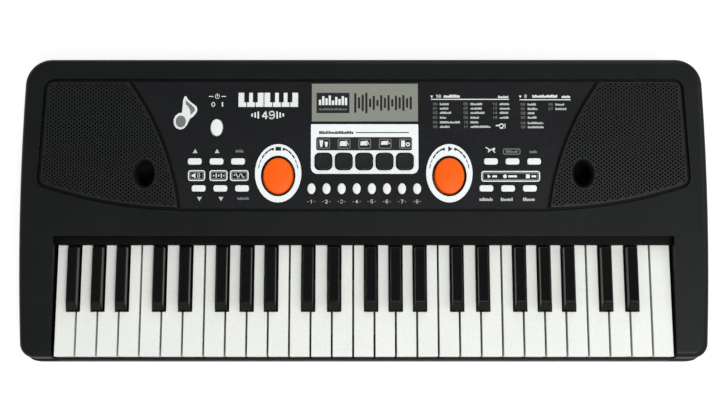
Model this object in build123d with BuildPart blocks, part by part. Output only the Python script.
from build123d import *

import os
from math import cos, hypot, radians, tan

os.makedirs("parts", exist_ok=True)

# A 49-key toy electronic keyboard. Millimetres, +Z up, +X to the player's right, +Y away from the player.
# The origin is on the table, under the middle of the case.

# ---------------------------------------------------------------- case
HALF_WIDTH = 269.0
HALF_DEPTH = 117.5
SIDE_BOW = 3.3
REAR_CORNER = 21.0
FRONT_CORNER = 11.5
TILT = 5.0
PANEL_HEIGHT = 43.0
FOOT_GAP = 1.5
FLOOR_TOP = 4.0
SPLIT = 14.0
WALL = 2.5
SKIN = 4.0
EDGE_ROUND = 5.0
BASE_EDGE_ROUND = 2.0
LIP_TOP = 20.0
LIP_WALL = 1.8
SEAM_STEP = 0.3
BASE_FRONT = -HALF_DEPTH - SEAM_STEP
LIP_HALF = 239.0
CLEAR_HEIGHT = 60.0

# ---------------------------------------------------------------- panel stack, below the panel's plane
PANEL_TOP = 0.2
POCKET_DEPTH = 2.6
INLAY_DEPTH = 1.0
INLAY_GAP = 0.1
DISPLAY_TOP = -0.1
BEZEL_TOP = -0.4
RING_TOP = -0.5
GRILLE_TOP = -0.4
FLANGE_TOP = 4.3
FLANGE_BOTTOM = 5.2
DOME_TOP = 5.4
MAT_TOP = 8.2
BOARD_TOP = 9.2
BOARD_BOTTOM = 10.8
DOME_RADIUS = 2.6
DOME_TAPER = 12
GROOVE = 2.4
REAR_GROOVE_Y = 99.9
FRONT_GROOVE_Y = -2.0

# ---------------------------------------------------------------- keys
PITCH = 480.0 / 29
KEYBOARD_LEFT = -240.0
KEY_GAP = 1.5
KEY_TOP = 31.5
KEY_SKIRT = 18.0
KEY_FRONT = -114.7
KEY_REAR = -24.0
KEY_SKIN = 1.8
KEY_WALL = 1.5
KEY_ROUND = 0.45
BLACK_WIDTH = 9.1
BLACK_TOP_WIDTH = 7.5
BLACK_WALL = 1.2
BLACK_TOP = 40.0
BLACK_BASE = 24.0
BLACK_FRONT = -79.3
BLACK_REAR = -30.8
BLACK_STEP = 1.5
BLACK_BEVEL = 6.2
BLACK_FRONT_WALL = 5.0
BLACK_ROUND = 0.8
BLACK_INNER_TOP = 37.0
BLACK_GAP = 1.0
SHANK_WIDTH = 6.0
SHANK_FRONT = -40.0
SHANK_REAR = 11.0
SHANK_BOTTOM = 21.5
SHANK_TOP = 30.2
PIVOT_Y = 6.0
PIVOT_Z = 25.0
ROD_RADIUS = 1.5
ROD_HALF = 242.5
RUNNING_FIT = 0.05
SLOT_HALF = 241.2
SLOT_REAR = -22.3
LEDGE_FRONT = -28.4
LEDGE_BOTTOM = 32.4
LEDGE_TOP = 34.0
WHITE_PRESS_Y = -88.0
BLACK_PRESS_Y = -62.0
PRESSER_BOTTOM = 15.4
PRESSER_HALF = 3.0

# White keys of an octave from F, each with the black key that follows it and how far that black key
# stands to the right of the line between its two white neighbours.
OCTAVE = (
    ("f", "f_sharp", -2.6),
    ("g", "g_sharp", 0.0),
    ("a", "a_sharp", 2.3),
    ("b", None, 0.0),
    ("c", "c_sharp", -1.9),
    ("d", "d_sharp", 1.8),
    ("e", None, 0.0),
)
OCTAVE_COUNT = 4
OCTAVE_WIDTH = len(OCTAVE) * PITCH

# ---------------------------------------------------------------- controls, by plan position
BUTTON_GAP = 0.35
FLANGE_REACH = 0.9
KEY_BUTTON = (11.2, 5.4)
POWER_BUTTON = (10.3, 14.2)
ORANGE_BUTTON = (24.0, 29.0)
DIGIT_BUTTON = (6.4, 8.7)
PAD_BUTTON = (13.4, 13.1)
ORANGE_GAP = 1.5
RING_SIZE = (36.2, 45.8)
RING_RISE = 2.1
ORANGE_X = 66.8
ORANGE_Y = 24.5
DIGIT_X = 0.4
DIGIT_Y = 14.5
DIGIT_PITCH = 11.77
PAD_X = 0.3
PAD_Y = 35.8
PAD_PITCH = 15.9
UPPER_ROW_Y = 35.8
LOWER_ROW_Y = 14.7
BEZEL_CENTRE = (0.7, 45.6)
BEZEL_SIZE = (84.0, 39.1)
BEZEL_REAR_CORNER = 0.8
BEZEL_FRONT_CORNER = 5.0
DISPLAY_CENTRE = (0.9, 82.0)
DISPLAY_SIZE = (83.2, 30.3)


def row(names, row_y, places):
    """Rectangular buttons of one row: name -> (x, y, size, height of the cap above the panel)."""
    return {f"{name}_button": (x, row_y, KEY_BUTTON, 1.5) for name, x in zip(names, places)}


BUTTONS = {
    "power_button": (-115.1, 62.4, POWER_BUTTON, 2.0),
    "stop_button": (-ORANGE_X, ORANGE_Y, ORANGE_BUTTON, 3.0),
    "demo_button": (ORANGE_X, ORANGE_Y, ORANGE_BUTTON, 3.0),
    **row(("volume_up", "tempo_up", "tone_up"), UPPER_ROW_Y, (-132.0, -115.0, -98.2)),
    **row(("volume_down", "tempo_down", "tone_down"), LOWER_ROW_Y, (-128.7, -111.8, -94.9)),
    **row(("vibrato", "sustain", "drum"), UPPER_ROW_Y, (99.3, 116.1, 133.0)),
    **row(("chord", "fill_in", "play"), LOWER_ROW_Y, (95.5, 112.4, 129.4)),
    **{f"pad_button_{n + 1}": (PAD_X + (n - 2) * PAD_PITCH, PAD_Y, PAD_BUTTON, 1.8) for n in range(5)},
    **{
        f"digit_button_{n + 1}": (DIGIT_X + (n - 3.5) * DIGIT_PITCH, DIGIT_Y, DIGIT_BUTTON, 1.6)
        for n in range(8)
    },
}
OVAL_SIZES = (POWER_BUTTON, ORANGE_BUTTON, DIGIT_BUTTON)

# ---------------------------------------------------------------- sound, power and fastening
SPEAKER_PLACE = (205.0, 54.0)
SPEAKER_RADIUS = 28.5
CONE_RADIUS = 25.0
MAGNET_RADIUS = 14.0
PORT_PLACE = (171.5, 26.3)
PORT_OUTER = (17.5, 23.0)
PORT_INNER = (10.5, 14.5)
PORT_STEP = 1.2
PORT_WALL = 1.2
PORT_TUBE_END = 11.0
GRILLE_EDGE_ROUND = 0.5
GRILLE_HOLE = 0.9
GRILLE_PITCH = 4.0
BAY_HALF = 31.0
BAY_FRONT = 33.0
BAY_REAR = 87.0
BAY_TOP = 18.0
BAY_PAD_TOP = 5.6
DOOR_HALF = 34.0
DOOR_FRONT = 24.0
DOOR_REAR = 90.0
DOOR_TOP = 3.5
DOOR_GAP = 0.3
DOOR_SCREW_Y = 28.0
DOOR_BOSS_RADIUS = 3.6
DOOR_BOSS_HEIGHT = 8.0
DOOR_SCREW_HEAD = 2.7
DOOR_SCREW_LENGTH = 9.0
RIGHT_SCREWS = ((254, -95), (254, -14), (254, 90), (130, 107), (45, 107))
CASE_SCREWS = [(side * x, y) for side in (-1, 1) for x, y in RIGHT_SCREWS]
BOARD_SCREWS = [(side * 143, y) for side in (-1, 1) for y in (9, 70)]
BOARD_HALF = 147.0
BOARD_Y = (4.0, 75.0)
MAT_HALF = 139.5
MAT_Y = (6.5, 73.0)
SCREW_RADIUS = 1.3
SCREW_LENGTH = 15.0
SCREW_HEAD_RADIUS = 2.8
SCREW_HEAD_SEAT = 9.0
SCREW_HEAD_HEIGHT = 2.0
SCREW_PLAY = 0.3
PILOT_PLAY = 0.05
BOSS_RADIUS = 3.5
BOSS_PILOT_DEPTH = 11.0
PILLAR_RADIUS = 4.6
BOARD_SCREW_RADIUS = 1.0
BOARD_SCREW_LENGTH = 6.0
BOARD_SCREW_HEAD = (2.5, 1.6)
BOARD_POST_RADIUS = 2.6
FEET = [(side * x, y) for side in (-1, 1) for x, y in ((235, -98), (235, 100), (80, -98))]
FOOT_RADIUS = 6.0
FOOT_SEAT = 1.0
STRIP_HALF = 237.0
STRIP_Y = (-97.0, -52.0)
STRIP_Z = 6.0
STRIP_BOARD = 1.6
STRIP_SHEET = 1.0
STRIP_DOME_TOP = 15.2
JACK_Z = 24.0
JACK_HALF = 5.5
JACK_DEPTH = 11.0
JACK_FACE_Y = HALF_DEPTH - WALL - 0.1
DC_JACK_X = -62.0
DC_BORE_RADIUS = 3.1
DC_PIN_RADIUS = 1.0
MIC_JACK_X = -86.0
MIC_BORE_RADIUS = 1.8
PLUG_SLEEVE = 1.5
BRACKET_HALF = 0.7
BRACKET_REACH = 5.0
SUPPORT_COUNT = 9
SUPPORT_PITCH = 58.0

PANEL = Plane(origin=(0, 0, PANEL_HEIGHT), x_dir=(1, 0, 0), z_dir=(0, -tan(radians(TILT)), 1))
PANEL_AXIS = Axis(PANEL.origin, PANEL.z_dir)


def at(x, y):
    """A plan position as a point in the sloping panel's own plane."""
    return (x, y / cos(radians(TILT)))


def finish(piece, name):
    """Label a finished sub-part and write it."""
    piece.part.label = name
    export_step(piece.part, f"parts/{name}.step")


def box_between(low, high, mode=Mode.ADD):
    """A box in the current part, from its lowest to its highest corner."""
    size = [b - a for a, b in zip(low, high)]
    middle = tuple((a + b) / 2 for a, b in zip(low, high))
    with Locations(middle):
        Box(*size, mode=mode)


def case_outline(front, inset=0.0):
    """Plan of the case: straight front and rear, gently bowed sides and rounded corners."""
    with BuildSketch(mode=Mode.PRIVATE) as plan:
        with BuildLine():
            corner_x = HALF_WIDTH - SIDE_BOW
            Line((-corner_x, front), (corner_x, front))
            ThreePointArc((corner_x, front), (HALF_WIDTH, 0), (corner_x, HALF_DEPTH))
            Line((corner_x, HALF_DEPTH), (-corner_x, HALF_DEPTH))
            ThreePointArc((-corner_x, HALF_DEPTH), (-HALF_WIDTH, 0), (-corner_x, front))
        make_face()
        fillet(plan.vertices().group_by(Axis.Y)[-1], radius=REAR_CORNER)
        fillet(plan.vertices().group_by(Axis.Y)[0], radius=FRONT_CORNER)
        if inset:
            offset(amount=-inset, mode=Mode.REPLACE)
    return plan.sketch


def grille_outline(shift):
    """Right-hand speaker grille in the panel's plane, grown or shrunk from the middle of its groove."""
    inner_front = at(143.6, -1.4)
    inner_rear = at(184.2, REAR_GROOVE_Y)
    outer_rear = at(249.7, REAR_GROOVE_Y)
    outer_front = at(254.3, 18.0)
    with BuildSketch(mode=Mode.PRIVATE) as plan:
        with BuildLine():
            ThreePointArc(inner_front, at(160.4, 59.4), inner_rear)
            Line(inner_rear, outer_rear)
            Line(outer_rear, outer_front)
            ThreePointArc(outer_front, at(200.0, 3.8), inner_front)
        make_face()
        corners = plan.vertices().sort_by(Axis.X)[-2:]
        fillet(corners, radius=7.5)
        offset(amount=shift, mode=Mode.REPLACE)
    return plan.sketch


def panel_outline(shift):
    """Control panel between the two grilles, grown or shrunk from the middle of its groove."""
    front_x = 143.6
    middle_x = 160.4
    rear_x = 184.2
    with BuildSketch(mode=Mode.PRIVATE) as plan:
        with BuildLine():
            Line(at(-front_x, FRONT_GROOVE_Y), at(front_x, FRONT_GROOVE_Y))
            ThreePointArc(at(front_x, FRONT_GROOVE_Y), at(middle_x, 59.4), at(rear_x, REAR_GROOVE_Y))
            Line(at(rear_x, REAR_GROOVE_Y), at(-rear_x, REAR_GROOVE_Y))
            ThreePointArc(at(-rear_x, REAR_GROOVE_Y), at(-middle_x, 59.4), at(-front_x, FRONT_GROOVE_Y))
        make_face()
        offset(amount=shift, mode=Mode.REPLACE)
    return plan.sketch


def button_shape(size, grow=0.0, mode=Mode.ADD):
    """One button's face, or its hole or flange, at the current location of a sketch."""
    width = size[0] + 2 * grow
    height = size[1] + 2 * grow
    if size in OVAL_SIZES:
        Ellipse(width / 2, height / 2, mode=mode)
    else:
        RectangleRounded(width, height, min(size) * 0.28 + grow, mode=mode)


def bezel_shape(grow=0.0):
    """The pad bezel's face, or its recess: nearly square rear corners and round front ones."""
    with BuildSketch(mode=Mode.PRIVATE) as face:
        Rectangle(BEZEL_SIZE[0] + 2 * grow, BEZEL_SIZE[1] + 2 * grow)
        fillet(face.vertices().group_by(Axis.Y)[-1], radius=BEZEL_REAR_CORNER)
        fillet(face.vertices().group_by(Axis.Y)[0], radius=BEZEL_FRONT_CORNER + grow)
    return face.sketch


# ================================================================ top case
with BuildPart() as case_blank:
    with BuildSketch(Plane.XY.offset(SPLIT)):
        add(case_outline(-HALF_DEPTH + LIP_WALL))
    extrude(amount=CLEAR_HEIGHT)
    split(bisect_by=PANEL, keep=Keep.BOTTOM)
    fillet(case_blank.faces().sort_by(Axis.Z)[-1].edges(), radius=EDGE_ROUND)

with BuildPart() as case_bosses:
    with BuildSketch(Plane.XY.offset(SPLIT)):
        with Locations(*CASE_SCREWS):
            Circle(BOSS_RADIUS)
    extrude(amount=CLEAR_HEIGHT)
    add(case_blank.part, mode=Mode.INTERSECT)

with BuildPart() as case_hollow:
    with BuildSketch(Plane.XY.offset(SPLIT)):
        add(case_outline(-HALF_DEPTH + LIP_WALL, inset=WALL))
        with Locations((0, -HALF_DEPTH + (SLOT_REAR + WALL + HALF_DEPTH) / 2)):
            Rectangle(2 * (SLOT_HALF + WALL), SLOT_REAR + WALL + HALF_DEPTH, mode=Mode.SUBTRACT)
    extrude(amount=CLEAR_HEIGHT)
    split(bisect_by=PANEL.offset(-SKIN), keep=Keep.BOTTOM)

with BuildPart() as top_case:
    add(case_blank.part)
    add(case_hollow.part, mode=Mode.SUBTRACT)
    add(case_bosses.part)
    with BuildSketch(PANEL.offset(-BOARD_TOP)):
        with Locations(*[at(*place) for place in BOARD_SCREWS]):
            Circle(BOARD_POST_RADIUS)
    extrude(amount=BOARD_TOP - SKIN + 0.5)
    # Key slot: open through the front, with a low ledge over the rear of the white keys.
    front = -HALF_DEPTH - WALL
    box_between((-SLOT_HALF, front, 0), (SLOT_HALF, LEDGE_FRONT, CLEAR_HEIGHT), Mode.SUBTRACT)
    box_between((-SLOT_HALF, front, LEDGE_TOP), (SLOT_HALF, SLOT_REAR, CLEAR_HEIGHT), Mode.SUBTRACT)
    box_between((-SLOT_HALF, front, 0), (SLOT_HALF, SLOT_REAR + WALL, LEDGE_BOTTOM), Mode.SUBTRACT)
    # Shallow pocket that takes the control panel and both grilles.
    with BuildSketch(PANEL.offset(-POCKET_DEPTH)):
        add(panel_outline(GROOVE / 2))
        add(grille_outline(GROOVE / 2))
        mirror(grille_outline(GROOVE / 2), about=Plane.YZ)
    extrude(amount=POCKET_DEPTH + 1, mode=Mode.SUBTRACT)
    # Button, speaker and port openings through the pocket's floor.
    with BuildSketch(PANEL.offset(-SKIN - 1)):
        for x, y, size, rise in BUTTONS.values():
            with Locations(at(x, y)):
                button_shape(size, BUTTON_GAP)
        for side in (-1, 1):
            with Locations(at(side * SPEAKER_PLACE[0], SPEAKER_PLACE[1])):
                Circle(CONE_RADIUS + 1)
            with Locations(at(side * PORT_PLACE[0], PORT_PLACE[1])):
                Ellipse(PORT_OUTER[0] / 2 + 0.3, PORT_OUTER[1] / 2 + 0.3)
    extrude(amount=SKIN + 1, mode=Mode.SUBTRACT)
    # Screw pilots in the case bosses and in the board posts.
    with BuildSketch(Plane.XY.offset(SPLIT)):
        with Locations(*CASE_SCREWS):
            Circle(SCREW_RADIUS + PILOT_PLAY)
    extrude(amount=BOSS_PILOT_DEPTH, mode=Mode.SUBTRACT)
    with BuildSketch(PANEL.offset(-BOARD_TOP)):
        with Locations(*[at(*place) for place in BOARD_SCREWS]):
            Circle(BOARD_SCREW_RADIUS + 2 * PILOT_PLAY)
    extrude(amount=BOARD_TOP - SKIN, mode=Mode.SUBTRACT)
    # Holes in front of the rear sockets, for the plugs.
    for x, bore_radius in ((DC_JACK_X, DC_BORE_RADIUS), (MIC_JACK_X, MIC_BORE_RADIUS)):
        with BuildSketch(Plane.XZ.offset(-HALF_DEPTH - 1)):
            with Locations((x, JACK_Z)):
                Circle(bore_radius + PLUG_SLEEVE)
        extrude(amount=WALL + 2, mode=Mode.SUBTRACT)
finish(top_case, "top_case")

# ================================================================ bottom case
with BuildPart() as bottom_case:
    with BuildSketch(Plane.XY.offset(FOOT_GAP)):
        add(case_outline(BASE_FRONT, inset=SEAM_STEP))
    extrude(amount=SPLIT - FOOT_GAP)
    fillet(bottom_case.faces().sort_by(Axis.Z)[0].edges(), radius=BASE_EDGE_ROUND)
    with BuildSketch(Plane.XY.offset(FLOOR_TOP)):
        add(case_outline(BASE_FRONT, inset=WALL))
    extrude(amount=CLEAR_HEIGHT, mode=Mode.SUBTRACT)
    # Raised front lip before the keys.
    box_between((-LIP_HALF, -HALF_DEPTH, FLOOR_TOP), (LIP_HALF, -HALF_DEPTH + LIP_WALL, LIP_TOP))
    # Screw pillars.
    with BuildSketch(Plane.XY.offset(FLOOR_TOP)):
        with Locations(*CASE_SCREWS):
            Circle(PILLAR_RADIUS)
    extrude(amount=SPLIT - FLOOR_TOP)
    # Brackets that carry the key pivot rod, at both ends and wherever two white keys meet directly.
    bracket_lines = [KEYBOARD_LEFT, -KEYBOARD_LEFT]
    for octave in range(OCTAVE_COUNT):
        bracket_lines.append(KEYBOARD_LEFT + octave * OCTAVE_WIDTH + 4 * PITCH)
        bracket_lines.append(KEYBOARD_LEFT + (octave + 1) * OCTAVE_WIDTH)
    for x in bracket_lines:
        low = (x - BRACKET_HALF, PIVOT_Y - BRACKET_REACH, FLOOR_TOP)
        box_between(low, (x + BRACKET_HALF, PIVOT_Y + BRACKET_REACH, PIVOT_Z + 4))
    # Supports of the key contact board and of the rear sockets.
    for n in range(SUPPORT_COUNT):
        x = (n - (SUPPORT_COUNT - 1) / 2) * SUPPORT_PITCH
        box_between((x - 1, STRIP_Y[0], FLOOR_TOP), (x + 1, STRIP_Y[1], STRIP_Z))
    for x in (DC_JACK_X, MIC_JACK_X):
        low = (x - JACK_HALF, JACK_FACE_Y - JACK_DEPTH + 1, FLOOR_TOP)
        box_between(low, (x + JACK_HALF, JACK_FACE_Y - 1, JACK_Z - JACK_HALF))
    # Battery bay: a thick pad round the door recess, the bay's box on it, a boss for the door's screw.
    box_between((-DOOR_HALF - 3, DOOR_FRONT - 3, FOOT_GAP), (DOOR_HALF + 3, DOOR_REAR + 3, BAY_PAD_TOP))
    box_between((-BAY_HALF - 2, BAY_FRONT - 2, FLOOR_TOP), (BAY_HALF + 2, BAY_REAR + 2, BAY_TOP + 2))
    with BuildSketch(Plane.XY.offset(FLOOR_TOP)):
        with Locations((0, DOOR_SCREW_Y)):
            Circle(DOOR_BOSS_RADIUS)
    extrude(amount=DOOR_BOSS_HEIGHT)
    box_between((-BAY_HALF, BAY_FRONT, 0), (BAY_HALF, BAY_REAR, BAY_TOP), Mode.SUBTRACT)
    door_edge = DOOR_HALF + DOOR_GAP
    low = (-door_edge, DOOR_FRONT - DOOR_GAP, 0)
    box_between(low, (door_edge, DOOR_REAR + DOOR_GAP, DOOR_TOP + 0.1), Mode.SUBTRACT)
    # Holes: screws with their head seats, the door's screw, the feet's seats and the rod's line.
    with BuildSketch(Plane.XY):
        with Locations(*CASE_SCREWS):
            Circle(SCREW_HEAD_RADIUS + SCREW_PLAY)
    extrude(amount=SCREW_HEAD_SEAT, mode=Mode.SUBTRACT)
    with BuildSketch(Plane.XY):
        with Locations(*CASE_SCREWS):
            Circle(SCREW_RADIUS + SCREW_PLAY)
    extrude(amount=SPLIT + 1, mode=Mode.SUBTRACT)
    with BuildSketch(Plane.XY):
        with Locations((0, DOOR_SCREW_Y)):
            Circle(SCREW_RADIUS + 2 * PILOT_PLAY)
    extrude(amount=FLOOR_TOP + DOOR_BOSS_HEIGHT + 1, mode=Mode.SUBTRACT)
    with BuildSketch(Plane.XY):
        with Locations(*FEET):
            Circle(FOOT_RADIUS + 0.1)
    extrude(amount=FOOT_GAP + FOOT_SEAT, mode=Mode.SUBTRACT)
    with BuildSketch(Plane.YZ.offset(-HALF_WIDTH + 2 * WALL)):
        with Locations((PIVOT_Y, PIVOT_Z)):
            Circle(ROD_RADIUS + 0.02)
    extrude(amount=2 * (HALF_WIDTH - 2 * WALL), mode=Mode.SUBTRACT)
finish(bottom_case, "bottom_case")

# ================================================================ control panel and its inlays
with BuildPart() as control_panel:
    with BuildSketch(PANEL.offset(-POCKET_DEPTH)):
        add(panel_outline(-GROOVE / 2))
    extrude(amount=POCKET_DEPTH - PANEL_TOP)
    with BuildSketch(PANEL.offset(-INLAY_DEPTH)):
        with Locations(at(*DISPLAY_CENTRE)):
            Rectangle(DISPLAY_SIZE[0] + 2 * INLAY_GAP, DISPLAY_SIZE[1] + 2 * INLAY_GAP)
        with Locations(at(*BEZEL_CENTRE)):
            add(bezel_shape(INLAY_GAP))
        with Locations(at(-ORANGE_X, ORANGE_Y + RING_RISE), at(ORANGE_X, ORANGE_Y + RING_RISE)):
            Ellipse(RING_SIZE[0] / 2 + INLAY_GAP, RING_SIZE[1] / 2 + INLAY_GAP)
    extrude(amount=INLAY_DEPTH, mode=Mode.SUBTRACT)
    with BuildSketch(PANEL.offset(-POCKET_DEPTH - 1)):
        for x, y, size, rise in BUTTONS.values():
            with Locations(at(x, y)):
                button_shape(size, ORANGE_GAP if size == ORANGE_BUTTON else BUTTON_GAP)
    extrude(amount=POCKET_DEPTH + 2, mode=Mode.SUBTRACT)
finish(control_panel, "control_panel")

with BuildPart() as display_plate:
    with BuildSketch(PANEL.offset(-INLAY_DEPTH)):
        with Locations(at(*DISPLAY_CENTRE)):
            Rectangle(*DISPLAY_SIZE)
    extrude(amount=INLAY_DEPTH - DISPLAY_TOP)
finish(display_plate, "display_plate")

with BuildPart() as pad_bezel:
    with BuildSketch(PANEL.offset(-INLAY_DEPTH)):
        with Locations(at(*BEZEL_CENTRE)):
            add(bezel_shape())
        for x, y, size, rise in BUTTONS.values():
            if size == PAD_BUTTON:
                with Locations(at(x, y)):
                    button_shape(size, BUTTON_GAP, Mode.SUBTRACT)
    extrude(amount=INLAY_DEPTH - BEZEL_TOP)
finish(pad_bezel, "pad_bezel")

with BuildPart() as button_rings:
    with BuildSketch(PANEL.offset(-INLAY_DEPTH)):
        for side in (-1, 1):
            with Locations(at(side * ORANGE_X, ORANGE_Y + RING_RISE)):
                Ellipse(RING_SIZE[0] / 2, RING_SIZE[1] / 2)
            with Locations(at(side * ORANGE_X, ORANGE_Y)):
                button_shape(ORANGE_BUTTON, ORANGE_GAP, Mode.SUBTRACT)
    extrude(amount=INLAY_DEPTH - RING_TOP)
finish(button_rings, "button_rings")

# ================================================================ speaker grilles
with BuildPart() as grille_right:
    with BuildSketch(PANEL.offset(-POCKET_DEPTH)):
        add(grille_outline(-GROOVE / 2))
    extrude(amount=POCKET_DEPTH - GRILLE_TOP)
    fillet(grille_right.faces().sort_by(PANEL_AXIS)[-1].edges(), radius=GRILLE_EDGE_ROUND)
    # Round field of sound holes over the speaker, in staggered rows, and the bass port's bore.
    row_step = GRILLE_PITCH * cos(radians(30))
    with BuildSketch(PANEL.offset(-POCKET_DEPTH - 1)):
        for row in range(-7, 8):
            for step in range(-7, 8):
                x = (step + (row % 2) / 2) * GRILLE_PITCH
                y = row * row_step
                if hypot(x, y) < CONE_RADIUS - GRILLE_HOLE:
                    with Locations(at(SPEAKER_PLACE[0] + x, SPEAKER_PLACE[1] + y)):
                        Circle(GRILLE_HOLE)
        with Locations(at(*PORT_PLACE)):
            Ellipse(PORT_INNER[0] / 2, PORT_INNER[1] / 2)
    extrude(amount=POCKET_DEPTH + 2, mode=Mode.SUBTRACT)
    # The port's wide mouth, and its short tube under the panel.
    with BuildSketch(PANEL.offset(-POCKET_DEPTH + PORT_STEP)):
        with Locations(at(*PORT_PLACE)):
            Ellipse(PORT_OUTER[0] / 2, PORT_OUTER[1] / 2)
    extrude(amount=POCKET_DEPTH, mode=Mode.SUBTRACT)
    with BuildSketch(PANEL.offset(-PORT_TUBE_END)):
        with Locations(at(*PORT_PLACE)):
            Ellipse(PORT_INNER[0] / 2 + PORT_WALL, PORT_INNER[1] / 2 + PORT_WALL)
            Ellipse(PORT_INNER[0] / 2, PORT_INNER[1] / 2, mode=Mode.SUBTRACT)
    extrude(amount=PORT_TUBE_END - POCKET_DEPTH + PORT_STEP / 2)
finish(grille_right, "speaker_grille_right")

with BuildPart() as grille_left:
    mirror(grille_right.part, about=Plane.YZ)
finish(grille_left, "speaker_grille_left")

# ================================================================ speakers
# Half section of a driver: dust cap and cone in front, flange, basket and magnet behind.
with BuildPart() as driver:
    with BuildSketch(Plane.XZ):
        with BuildLine():
            Polyline(
                (0, -5.5), (4.5, -7.0), (7.0, -8.5), (CONE_RADIUS - 3, -1.5), (CONE_RADIUS, -0.6),
                (CONE_RADIUS, 0), (SPEAKER_RADIUS, 0), (SPEAKER_RADIUS, -1.5), (CONE_RADIUS + 1, -1.5),
                (MAGNET_RADIUS, -11), (MAGNET_RADIUS, -20), (0, -20),
                close=True,
            )
        make_face()
    revolve(axis=Axis.Z)

with BuildPart() as speakers:
    speaker_plane = PANEL.offset(-SKIN)
    for side in (-1, 1):
        place = at(side * SPEAKER_PLACE[0], SPEAKER_PLACE[1])
        add(driver.part.moved(speaker_plane.location * Location((*place, 0))))
finish(speakers, "speakers")

# ================================================================ buttons, their mat and the main board
for name, (x, y, size, rise) in BUTTONS.items():
    with BuildPart() as button:
        with BuildSketch(PANEL.offset(-FLANGE_BOTTOM)):
            with Locations(at(x, y)):
                button_shape(size)
        extrude(amount=FLANGE_BOTTOM + rise)
        fillet(button.faces().sort_by(PANEL_AXIS)[-1].edges(), radius=0.4 * rise)
        with BuildSketch(PANEL.offset(-FLANGE_BOTTOM)):
            with Locations(at(x, y)):
                button_shape(size, FLANGE_REACH)
        extrude(amount=FLANGE_BOTTOM - FLANGE_TOP)
    finish(button, name)

with BuildPart() as button_mat:
    with BuildSketch(PANEL.offset(-BOARD_TOP)):
        with Locations(at(0, sum(MAT_Y) / 2)):
            Rectangle(2 * MAT_HALF, MAT_Y[1] - MAT_Y[0])
    extrude(amount=BOARD_TOP - MAT_TOP)
    with BuildSketch(PANEL.offset(-MAT_TOP)):
        for x, y, size, rise in BUTTONS.values():
            with Locations(at(x, y)):
                Circle(DOME_RADIUS)
    extrude(amount=MAT_TOP - DOME_TOP, taper=DOME_TAPER)
finish(button_mat, "button_mat")

with BuildPart() as main_board:
    with BuildSketch(PANEL.offset(-BOARD_BOTTOM)):
        with Locations(at(0, sum(BOARD_Y) / 2)):
            Rectangle(2 * BOARD_HALF, BOARD_Y[1] - BOARD_Y[0])
        with Locations(*[at(*place) for place in BOARD_SCREWS]):
            Circle(BOARD_SCREW_RADIUS + 0.5, mode=Mode.SUBTRACT)
    extrude(amount=BOARD_BOTTOM - BOARD_TOP)
    # On the underside: capacitors, then the covered chip and the amplifier, then the plug rows.
    with BuildSketch(PANEL.offset(-BOARD_BOTTOM)):
        with Locations(at(78, 60), at(92, 60), at(-92, 52)):
            Circle(3.2)
    extrude(amount=-8)
    with BuildSketch(PANEL.offset(-BOARD_BOTTOM)):
        with Locations(at(-50, 56)):
            Circle(7.0)
        with Locations(at(45, 60)):
            Rectangle(18, 11)
    extrude(amount=-2.4)
    with BuildSketch(PANEL.offset(-BOARD_BOTTOM)):
        with Locations(at(-118, 40), at(118, 40), at(0, 64)):
            Rectangle(22, 6)
    extrude(amount=-6)
finish(main_board, "main_board")


# ================================================================ keys
def white_key(left_cut, right_cut):
    """A white key between x = 0 and PITCH: a hollow cap on a pivoted shank.

    Its rear part runs from left_cut to right_cut, to leave room for the black keys beside it.
    """
    low_x = KEY_GAP / 2
    high_x = PITCH - KEY_GAP / 2
    rear_low = max(low_x, left_cut)
    rear_high = min(high_x, right_cut)
    notch_y = BLACK_FRONT - BLACK_GAP
    with BuildSketch(mode=Mode.PRIVATE) as plan:
        with Locations((PITCH / 2, (KEY_FRONT + notch_y) / 2)):
            Rectangle(high_x - low_x, notch_y - KEY_FRONT)
        with Locations(((rear_low + rear_high) / 2, (KEY_REAR + KEY_FRONT) / 2)):
            Rectangle(rear_high - rear_low, KEY_REAR - KEY_FRONT)
    with BuildSketch(mode=Mode.PRIVATE) as inner_plan:
        add(plan.sketch)
        offset(amount=-KEY_WALL, kind=Kind.INTERSECTION, mode=Mode.REPLACE)
    with BuildPart() as key:
        with BuildSketch(Plane.XY.offset(KEY_SKIRT)):
            add(plan.sketch)
        extrude(amount=KEY_TOP - KEY_SKIRT)
        fillet(key.faces().sort_by(Axis.Z)[-1].edges(), radius=KEY_ROUND)
        with BuildSketch(Plane.XY.offset(KEY_SKIRT)):
            add(inner_plan.sketch)
        extrude(amount=KEY_TOP - KEY_SKIRT - KEY_SKIN, mode=Mode.SUBTRACT)
        add_shank((rear_low + rear_high) / 2, PITCH / 2, WHITE_PRESS_Y, KEY_TOP - KEY_SKIN)
    return key.part


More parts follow.
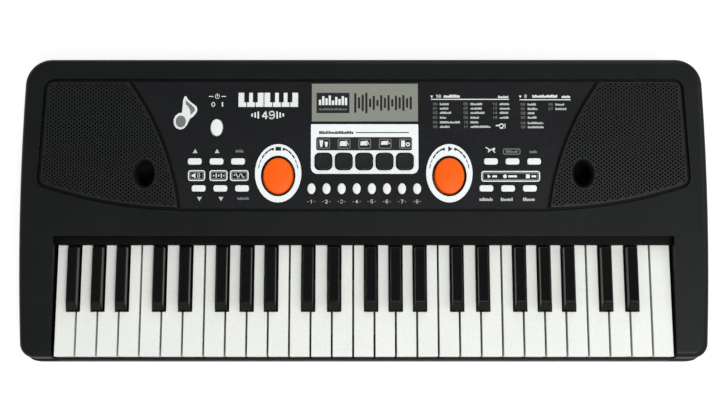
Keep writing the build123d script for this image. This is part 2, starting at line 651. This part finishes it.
def black_key():
    """A black key about x = 0: a hollow, tapered cap with a bevelled front, on a pivoted shank."""
    with BuildPart() as key:
        with BuildSketch(Plane.YZ):
            with BuildLine():
                Polyline(
                    (BLACK_FRONT, BLACK_BASE),
                    (BLACK_FRONT, KEY_TOP + BLACK_STEP),
                    (BLACK_FRONT + BLACK_BEVEL, BLACK_TOP),
                    (BLACK_REAR, BLACK_TOP),
                    (BLACK_REAR, KEY_TOP),
                    (KEY_REAR, KEY_TOP),
                    (KEY_REAR, BLACK_BASE),
                    close=True,
                )
            make_face()
        extrude(amount=BLACK_WIDTH, both=True)
        with BuildSketch(Plane.XZ):
            with BuildLine():
                Polyline(
                    (-BLACK_WIDTH / 2, BLACK_BASE),
                    (-BLACK_WIDTH / 2, KEY_TOP),
                    (-BLACK_TOP_WIDTH / 2, BLACK_TOP),
                    (BLACK_TOP_WIDTH / 2, BLACK_TOP),
                    (BLACK_WIDTH / 2, KEY_TOP),
                    (BLACK_WIDTH / 2, BLACK_BASE),
                    close=True,
                )
            make_face()
        extrude(amount=2 * HALF_DEPTH, both=True, mode=Mode.INTERSECT)
        fillet(key.faces().sort_by(Axis.Z)[-1].edges(), radius=BLACK_ROUND)
        inner_half = BLACK_WIDTH / 2 - BLACK_WALL
        inner_low = (-inner_half, BLACK_FRONT + BLACK_FRONT_WALL, BLACK_BASE)
        box_between(inner_low, (inner_half, BLACK_REAR - 2, BLACK_INNER_TOP), Mode.SUBTRACT)
        add_shank(0, 0, BLACK_PRESS_Y, BLACK_INNER_TOP)
    return key.part


def add_shank(shank_x, presser_x, presser_y, presser_top):
    """The shank with its pivot bore, and the rib that presses the rubber dome, in the current part."""
    half = SHANK_WIDTH / 2
    box_between((shank_x - half, SHANK_FRONT, SHANK_BOTTOM), (shank_x + half, SHANK_REAR, SHANK_TOP))
    low = (presser_x - PRESSER_HALF, presser_y - 1.5, PRESSER_BOTTOM)
    box_between(low, (presser_x + PRESSER_HALF, presser_y + 1.5, presser_top + 0.2))
    with Locations((shank_x, PIVOT_Y, PIVOT_Z)):
        Cylinder(ROD_RADIUS + RUNNING_FIT, SHANK_WIDTH + 1, rotation=(0, 90, 0), mode=Mode.SUBTRACT)


CUT = BLACK_WIDTH / 2 + BLACK_GAP
BLACK_KEY = black_key()
dome_places = []
for index, (white, black, black_shift) in enumerate(OCTAVE):
    previous_black, previous_shift = OCTAVE[index - 1][1:]
    left_cut = previous_shift + CUT if previous_black else 0
    right_cut = PITCH + black_shift - CUT if black else PITCH
    white_x = [KEYBOARD_LEFT + octave * OCTAVE_WIDTH + index * PITCH for octave in range(OCTAVE_COUNT)]
    with BuildPart() as white_keys:
        with Locations(*[(x, 0, 0) for x in white_x]):
            add(white_key(left_cut, right_cut))
        if index == 0:
            # The topmost key of the keyboard has no black neighbour.
            last_x = KEYBOARD_LEFT + OCTAVE_COUNT * OCTAVE_WIDTH
            with Locations((last_x, 0, 0)):
                add(white_key(0, PITCH))
            white_x.append(last_x)
    finish(white_keys, f"keys_{white}")
    dome_places += [(x + PITCH / 2, WHITE_PRESS_Y) for x in white_x]
    if black:
        black_x = [x + PITCH + black_shift for x in white_x[:OCTAVE_COUNT]]
        with BuildPart() as black_keys:
            with Locations(*[(x, 0, 0) for x in black_x]):
                add(BLACK_KEY)
        finish(black_keys, f"keys_{black}")
        dome_places += [(x, BLACK_PRESS_Y) for x in black_x]

with BuildPart() as key_pivot_rod:
    with BuildSketch(Plane.YZ.offset(-ROD_HALF)):
        with Locations((PIVOT_Y, PIVOT_Z)):
            Circle(ROD_RADIUS)
    extrude(amount=2 * ROD_HALF)
finish(key_pivot_rod, "key_pivot_rod")

with BuildPart() as key_contact_board:
    box_between((-STRIP_HALF, STRIP_Y[0], STRIP_Z), (STRIP_HALF, STRIP_Y[1], STRIP_Z + STRIP_BOARD))
finish(key_contact_board, "key_contact_board")

with BuildPart() as key_contact_mat:
    sheet_z = STRIP_Z + STRIP_BOARD
    sheet_top = sheet_z + STRIP_SHEET
    box_between((-STRIP_HALF, STRIP_Y[0] + 1, sheet_z), (STRIP_HALF, STRIP_Y[1] - 1, sheet_top))
    with BuildSketch(Plane.XY.offset(sheet_top)):
        with Locations(*dome_places):
            Circle(DOME_RADIUS + 0.6)
    extrude(amount=STRIP_DOME_TOP - sheet_top, taper=DOME_TAPER)
finish(key_contact_mat, "key_contact_mat")

# ================================================================ battery parts
with BuildPart() as battery_door:
    with BuildSketch(Plane.XY.offset(FOOT_GAP)):
        with Locations((0, (DOOR_FRONT + DOOR_REAR) / 2)):
            RectangleRounded(2 * DOOR_HALF, DOOR_REAR - DOOR_FRONT, 1.5)
        with Locations((0, DOOR_SCREW_Y)):
            Circle(SCREW_RADIUS + SCREW_PLAY, mode=Mode.SUBTRACT)
    extrude(amount=DOOR_TOP - FOOT_GAP)
    with BuildSketch(Plane.XY.offset(FOOT_GAP)):
        with Locations((0, DOOR_SCREW_Y)):
            Circle(DOOR_SCREW_HEAD + SCREW_PLAY)
    extrude(amount=1.1, mode=Mode.SUBTRACT)
    # Grip ridges across the door's rear edge.
    for n in range(5):
        y = DOOR_REAR - 8 - 2.4 * n
        box_between((-12, y, FOOT_GAP), (12, y + 1.2, FOOT_GAP + 0.6), Mode.SUBTRACT)
    # The captive screw, a solid of its own.
    with BuildSketch(Plane.XY.offset(FOOT_GAP + 0.1)):
        with Locations((0, DOOR_SCREW_Y)):
            Circle(DOOR_SCREW_HEAD)
    extrude(amount=0.9)
    with BuildSketch(Plane.XY.offset(FOOT_GAP + 0.1)):
        with Locations((0, DOOR_SCREW_Y)):
            Circle(SCREW_RADIUS)
    extrude(amount=DOOR_SCREW_LENGTH)
finish(battery_door, "battery_door")

with BuildPart() as battery_contacts:
    for cell in range(4):
        x = (cell - 1.5) * 15.2
        spring_at_rear = cell % 2 == 0
        for wall_y, outward in ((BAY_FRONT, 1), (BAY_REAR, -1)):
            face_y = wall_y + 0.4 * outward
            box_between((x - 6, min(wall_y, face_y), 5.5), (x + 6, max(wall_y, face_y), 16.5))
            if spring_at_rear == (outward < 0):
                with BuildSketch(Plane(origin=(x, face_y, 11), z_dir=(0, outward, 0))):
                    Circle(3.6)
                extrude(amount=4, taper=14)
finish(battery_contacts, "battery_contacts")

# ================================================================ sockets in the rear wall
JACKS = (("dc_jack", DC_JACK_X, DC_BORE_RADIUS), ("mic_jack", MIC_JACK_X, MIC_BORE_RADIUS))
for name, x, bore_radius in JACKS:
    low = (x - JACK_HALF, JACK_FACE_Y - JACK_DEPTH - 2, JACK_Z - JACK_HALF)
    mouth = Plane(origin=(x, JACK_FACE_Y, JACK_Z), x_dir=(1, 0, 0), z_dir=(0, 1, 0))
    with BuildPart() as jack:
        box_between(low, (x + JACK_HALF, JACK_FACE_Y, JACK_Z + JACK_HALF))
        with BuildSketch(mouth):
            Circle(bore_radius)
        extrude(amount=-JACK_DEPTH, mode=Mode.SUBTRACT)
        if name == "dc_jack":
            with BuildSketch(mouth.offset(-JACK_DEPTH)):
                Circle(DC_PIN_RADIUS)
            extrude(amount=JACK_DEPTH - 1)
    finish(jack, name)

# ================================================================ feet and screws
with BuildPart() as rubber_feet:
    with BuildSketch(Plane.XY):
        with Locations(*FEET):
            Circle(FOOT_RADIUS)
    extrude(amount=FOOT_GAP + FOOT_SEAT)
    fillet(rubber_feet.faces().sort_by(Axis.Z)[: len(FEET)].edges(), radius=0.6)
finish(rubber_feet, "rubber_feet")

with BuildPart() as screws:
    with BuildSketch(Plane.XY.offset(SCREW_HEAD_SEAT - SCREW_HEAD_HEIGHT)):
        with Locations(*CASE_SCREWS):
            Circle(SCREW_HEAD_RADIUS)
    extrude(amount=SCREW_HEAD_HEIGHT)
    with BuildSketch(Plane.XY.offset(SCREW_HEAD_SEAT - 1)):
        with Locations(*CASE_SCREWS):
            Circle(SCREW_RADIUS)
    extrude(amount=SCREW_LENGTH)
    head_radius, head_height = BOARD_SCREW_HEAD
    with BuildSketch(PANEL.offset(-BOARD_BOTTOM)):
        with Locations(*[at(*place) for place in BOARD_SCREWS]):
            Circle(head_radius)
    extrude(amount=-head_height)
    with BuildSketch(PANEL.offset(-BOARD_BOTTOM - 1)):
        with Locations(*[at(*place) for place in BOARD_SCREWS]):
            Circle(BOARD_SCREW_RADIUS)
    extrude(amount=BOARD_SCREW_LENGTH)
finish(screws, "screws")
